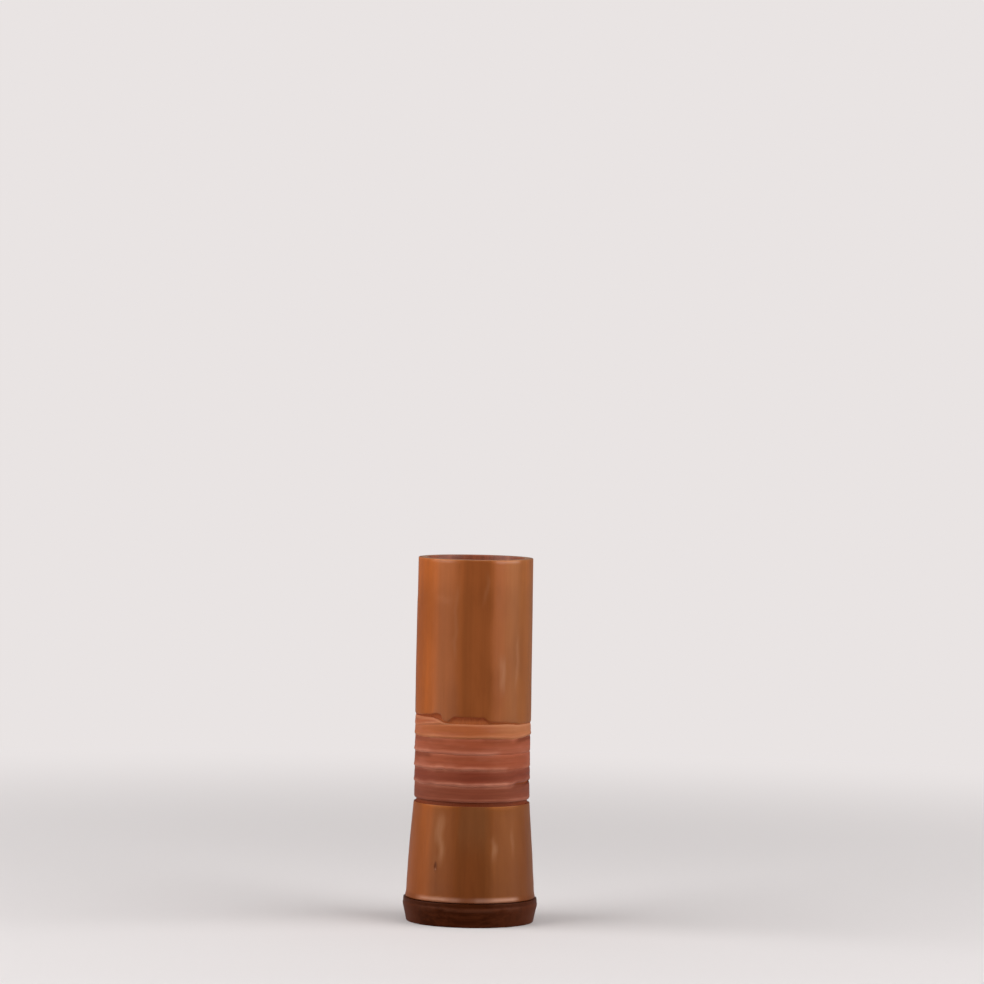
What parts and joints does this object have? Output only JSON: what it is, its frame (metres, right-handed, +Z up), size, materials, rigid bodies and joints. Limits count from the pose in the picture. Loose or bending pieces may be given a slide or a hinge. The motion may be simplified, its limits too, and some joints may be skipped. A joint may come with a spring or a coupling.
{
  "type": "bamboo flower vase",
  "caption": "Tall cylindrical vase from a length of lacquered bamboo culm, a lapped rattan strip wound round a groove at its middle, flared foot on a low dark turned base.",
  "frame": {"origin": "centre of the turned base's underside, on the surface that the vase stands on", "axes": "+Z up along the vase's axis towards its mouth, -Y towards the pictured front, +X to the viewer's right"},
  "size_m": [0.0782, 0.0782, 0.2115],
  "materials": {
    "lacquered_bamboo": "orange-brown carbonised bamboo under a satin clear lacquer",
    "rattan_strip": "reddish-brown split rattan, low sheen, fibres along the strip",
    "dark_lacquered_wood": "very dark brown stained wood under a satin lacquer"
  },
  "bodies": {
    "root": {"bamboo_culm": "lacquered_bamboo", "rattan_winding": "rattan_strip", "turned_base": "dark_lacquered_wood"}
  },
  "joints": []
}
